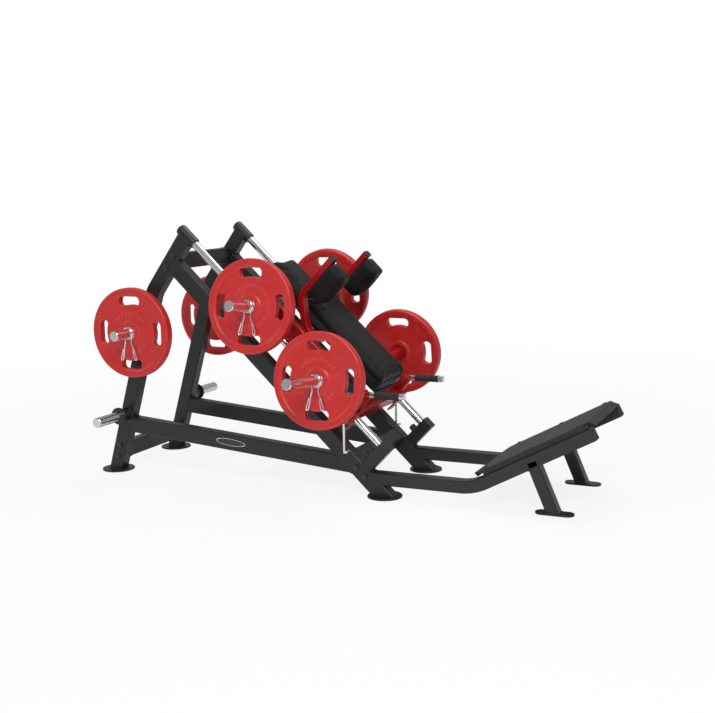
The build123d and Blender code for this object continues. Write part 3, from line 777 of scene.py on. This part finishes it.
gripMesh = makeGrip()
towardsPlate = Matrix.Rotation(pi / 2, 4, "Y")
for side, sign in sides.items():
    place = Matrix.Translation(station(grip["start"], sign * grip["out"], grip["height"])) @ towardsPlate
    piece = keep(moved(gripMesh, place), "handleGrip." + side, "grip_rubber", "handle_" + side)
    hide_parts("handle_grip_" + side)


badge = {"station": 0.714, "height": 0.2040, "long": 0.082, "high": 0.0165, "thick": 0.0016, "tilt": 4.83,
         "rim": 0.0045}


def oval(long, high, low, top):
    return prism([(long * cos(tau * k / 64), high * sin(tau * k / 64)) for k in range(64)], low, top)


badgeLine = [(badge["long"] * cos(tau * k / 64), badge["high"] * sin(tau * k / 64), badge["thick"])
             for k in range(64)]
badgeRim = tubeAlong(badgeLine, badge["rim"] / 2, sides=12, loop=True)
badgePlate = oval(badge["long"], badge["high"], 0.0, badge["thick"])
for side, sign in sides.items():
    outward = Vector((0, sign, 0))
    along = Vector((cos(radians(badge["tilt"])), 0, -sin(radians(badge["tilt"]))))
    axes = Matrix((along, outward.cross(along), outward)).transposed().to_4x4()
    face = layout["gauge"] + layout["tubeWide"] / 2 + 0.0002
    place = Matrix.Translation(station(badge["station"], sign * face, badge["height"])) @ axes
    keep(moved(badgePlate, place), "badge." + side, "bolt_steel", "frame")
    keep(moved(badgeRim, place), "badgeRim." + side, "handle_steel", "frame")


print("laying weld beads")
bead = {"radius": 0.0026, "ripple": 0.0007, "step": 0.005}
tube = {"main": 0.080, "upright": 0.075, "base": 0.060, "leg": 0.055, "cross": 0.060}
beads = {"frame": [], "carriage": []}


def rippled(points, closed=True):
    # even steps along a line of points, each pushed a little to and fro like laid metal
    path = points + [points[0]] if closed else points
    laid = []
    for here, there in zip(path, path[1:]):
        here, there = Vector(here), Vector(there)
        count = max(1, round((there - here).length / bead["step"]))
        laid += [here.lerp(there, k / count) for k in range(count)]
    middle = sum(laid, Vector()) / len(laid)
    for k, point in enumerate(laid):
        point += (point - middle).normalized() * bead["ripple"] * (sin(k * 2.4) + 0.6 * sin(k * 5.1 + 1.0))
    return laid


def weld(body, points):
    beads[body].append(tubeAlong(rippled(points), bead["radius"], sides=8, loop=True, smoothLine=False))


def across(line, face):
    # where a line in the side view crosses another
    (x1, z1), (dx1, dz1) = line
    (x2, z2), (dx2, dz2) = face
    share = ((x2 - x1) * dz2 - (z2 - z1) * dx2) / (dx1 * dz2 - dz1 * dx2)
    return x1 + share * dx1, z1 + share * dz1


def weldEnd(y, axis, deep, face):
    # a loop where a tube along an axis meets a flat face, both seen from the side
    (x, z), (dx, dz) = axis
    long = hypot(dx, dz)
    ends = []
    for half in (-deep / 2, deep / 2):
        shifted = ((x - dz / long * half, z + dx / long * half), (dx, dz))
        ends.append(across(shifted, face))
    out = layout["tubeWide"] / 2
    corners = [(ends[0], -out), (ends[0], out), (ends[1], out), (ends[1], -out)]
    weld("frame", [station(cx, y + side, cz) for (cx, cz), side in corners])


def shiftedFace(axis, away):
    # the face of a tube, off its axis to the right of its direction
    (x, z), (dx, dz) = axis
    long = hypot(dx, dz)
    return (x + dz / long * away, z - dx / long * away), (dx, dz)


def weldRing(body, centre, outward, radius):
    turn = outward.to_track_quat("Z", "Y").to_matrix()
    weld(body, [centre + turn @ Vector((radius * cos(tau * k / 32), radius * sin(tau * k / 32), 0))
                for k in range(32)])


def slopeSide(t, n):
    point = onSlope @ Vector((t, 0, n))
    return point.x - stationZero, point.z


# stations and heights where the frame's tubes meet; the knee is the bend in an upright
seat = {"knee": (0.283, 0.940), "topT": -0.490, "inclineN": -0.1576, "rearRail": 0.255, "railTilt": 4.83,
        "frontRail": (1.0, 0.088), "legFoot": (2.339, 0.0), "legLean": 22.7, "padTop": 0.008,
        "postT": 0.945, "postDeep": 0.060, "horns": (0.307, 0.747), "hornOut": 0.300, "hornRing": 0.0325,
        "upperCross": (0.3981, 1.095), "rearCross": 0.107, "lowerCrossT": 0.875, "lowerCrossWide": 0.075,
        "crossOut": 0.237}
# where the carriage's two cross tubes end on its side rails
rung = {"starts": (-0.020, 0.260), "long": 0.060, "low": 0.035, "high": 0.085, "out": 0.248}


def onUpright(height):
    # the station of the lower upright's middle at a height
    return seat["knee"][0] * height / seat["knee"][1]


kneeX, kneeZ = seat["knee"]
topX, topZ = slopeSide(seat["topT"], 0)
lowUpright = ((0.0, 0.0), seat["knee"])
highUpright = (seat["knee"], (topX - kneeX, topZ - kneeZ))
incline = (slopeSide(0.0, seat["inclineN"]), (cos(slopeAngle), -sin(slopeAngle)))
railTilt = radians(seat["railTilt"])
rearRail = ((onUpright(seat["rearRail"]), seat["rearRail"]), (cos(railTilt), -sin(railTilt)))
frontRail = (seat["frontRail"], (1.0, 0.0))
rampRail = (layout["rampStart"], (cos(rampAngle), sin(rampAngle)))
legLean = radians(seat["legLean"])
leg = (seat["legFoot"], (-sin(legLean), cos(legLean)))
post = (slopeSide(seat["postT"], seat["inclineN"]), (sin(slopeAngle), cos(slopeAngle)))
floorFace = ((0.0, seat["padTop"]), (1.0, 0.0))
crossTubes = ((seat["upperCross"], 0.0, tube["cross"]),
              ((onUpright(seat["rearCross"]), seat["rearCross"]), 0.0, tube["cross"]),
              (slopeSide(seat["lowerCrossT"], seat["inclineN"]), slopeAngle, seat["lowerCrossWide"]))
for side, sign in sides.items():
    y = sign * layout["gauge"]
    weldEnd(y, incline, tube["main"], shiftedFace(highUpright, tube["upright"] / 2))
    weldEnd(y, rearRail, tube["main"], shiftedFace(lowUpright, tube["upright"] / 2))
    weldEnd(y, rearRail, tube["main"], shiftedFace(incline, tube["main"] / 2))
    weldEnd(y, frontRail, tube["base"], shiftedFace(incline, -tube["main"] / 2))
    weldEnd(y, leg, tube["leg"], shiftedFace(rampRail, tube["base"] / 2))
    weldEnd(y, lowUpright, tube["upright"], floorFace)
    weldEnd(y, incline, tube["main"], floorFace)
    weldEnd(y, leg, tube["leg"], floorFace)
    weldEnd(y, post, seat["postDeep"], shiftedFace(incline, -tube["main"] / 2))
    for height in seat["horns"]:
        weldRing("frame", station(onUpright(height), sign * seat["hornOut"], height),
                 Vector((0, 1, 0)), seat["hornRing"])
    for (x, z), tilt, wide in crossTubes:
        loop = []
        for a, b in ((-1, -1), (1, -1), (1, 1), (-1, 1)):
            dx, dz = a * wide / 2, b * tube["main"] / 2
            loop.append(station(x + dx * cos(tilt) + dz * sin(tilt), sign * seat["crossOut"],
                                z - dx * sin(tilt) + dz * cos(tilt)))
        weld("frame", loop)
    for start in rung["starts"]:
        end = start + rung["long"]
        corners = ((start, rung["low"]), (end, rung["low"]), (end, rung["high"]), (start, rung["high"]))
        weld("carriage", [onSlope @ Vector((t, sign * rung["out"], n)) for t, n in corners])
for body, laid in beads.items():
    keep(joined(*laid), body + "Welds", "frame_paint" if body == "frame" else "carriage_paint", body,
         radians(60))


print("setting the room")
room = {"floorRadius": 40.0, "floorColour": (0.86, 0.86, 0.86), "sky": 0.34, "backdrop": 1.0,
        "fadeStart": 1.8, "fadeEnd": 5.0, "paperGlow": 0.86}
camera = {"place": (3.5184, -4.854, 1.422), "azimuth": 24.79, "elevation": 8.58, "roll": -1.19,
          "lens": 55.194, "sensor": 36.0}


def makeFloor():
    work = bmesh.new()
    bmesh.ops.create_circle(work, cap_ends=True, segments=96, radius=room["floorRadius"])
    mesh = bpy.data.meshes.new("floor")
    work.to_mesh(mesh)
    work.free()
    floor = bpy.data.objects.new("floor", mesh)
    bpy.context.scene.collection.objects.link(floor)
    floor.location.z = -0.0005
    paper = Finish("floorPaper", Roughness=0.75, Specular_IOR_Level=0.2)
    clouds = paper.noise(0.7, 2.0)
    paper.set("Base Color", paper.blend(clouds, room["floorColour"], (0.90, 0.90, 0.90)))
    away = paper.node("VectorMath", {"operation": "LENGTH"}, {0: paper.place}, "Value")
    span = room["fadeEnd"] - room["fadeStart"]
    fade = ((away - room["fadeStart"]) / span).clipped()
    seen = paper.node("LightPath", {}, {}, "Is Camera Ray")
    share = (room["paperGlow"] + (1 - room["paperGlow"]) * fade) * seen
    glow = paper.node("Emission", {}, {"Strength": room["backdrop"]})
    mixed = paper.node("MixShader", {}, {0: share, 1: Wire(paper, paper.shader.outputs[0]), 2: glow})
    paper.tree.links.new(mixed.socket, paper.tree.nodes["Material Output"].inputs["Surface"])
    mesh.materials.append(paper.material)


def makeLight(name, place, aim, size, power, colour=(1, 1, 1)):
    lamp = bpy.data.lights.new(name, "AREA")
    lamp.shape = "RECTANGLE"
    lamp.size = size[0]
    lamp.size_y = size[1]
    lamp.energy = power
    lamp.color = colour
    holder = bpy.data.objects.new(name, lamp)
    bpy.context.scene.collection.objects.link(holder)
    holder.location = place
    holder.rotation_euler = (Vector(aim) - Vector(place)).to_track_quat("-Z", "Y").to_euler()


def makeSky():
    world = bpy.data.worlds.new("studio")
    world.use_nodes = True
    tree = world.node_tree
    light = tree.nodes["Background"]
    light.inputs["Color"].default_value = (1, 1, 1, 1)
    light.inputs["Strength"].default_value = room["sky"]
    seen = tree.nodes.new("ShaderNodeBackground")
    seen.inputs["Color"].default_value = (1, 1, 1, 1)
    seen.inputs["Strength"].default_value = room["backdrop"]
    rays = tree.nodes.new("ShaderNodeLightPath")
    either = tree.nodes.new("ShaderNodeMixShader")
    tree.links.new(rays.outputs["Is Camera Ray"], either.inputs[0])
    tree.links.new(light.outputs[0], either.inputs[1])
    tree.links.new(seen.outputs[0], either.inputs[2])
    tree.links.new(either.outputs[0], tree.nodes["World Output"].inputs["Surface"])
    bpy.context.scene.world = world


def makeCamera():
    turn = radians(camera["azimuth"])
    drop = radians(camera["elevation"])
    roll = radians(camera["roll"])
    look = Vector((-sin(turn) * cos(drop), cos(turn) * cos(drop), -sin(drop)))
    right = Vector((cos(turn), sin(turn), 0))
    up = right.cross(look)
    rolledRight = cos(roll) * right + sin(roll) * up
    rolledUp = cos(roll) * up - sin(roll) * right
    lens = bpy.data.cameras.new("camera")
    lens.lens = camera["lens"]
    lens.sensor_width = camera["sensor"]
    lens.clip_end = 100
    holder = bpy.data.objects.new("camera", lens)
    bpy.context.scene.collection.objects.link(holder)
    axes = Matrix((rolledRight, rolledUp, -look)).transposed().to_4x4()
    holder.matrix_world = Matrix.Translation(station(*camera["place"])) @ axes
    bpy.context.scene.camera = holder


makeFloor()
makeSky()
makeLight("keyLight", (2.2, -4.8, 4.4), (0.1, 0, 0.5), (3.0, 2.0), 205)
makeLight("fillLight", (-5.0, -3.0, 3.0), (0, 0, 0.5), (2.5, 2.5), 34)
makeLight("topLight", (0.5, 1.5, 5.5), (0, 0, 0.4), (3.5, 2.5), 110)
makeCamera()
bpy.context.scene.view_settings.view_transform = "Standard"

print("done")
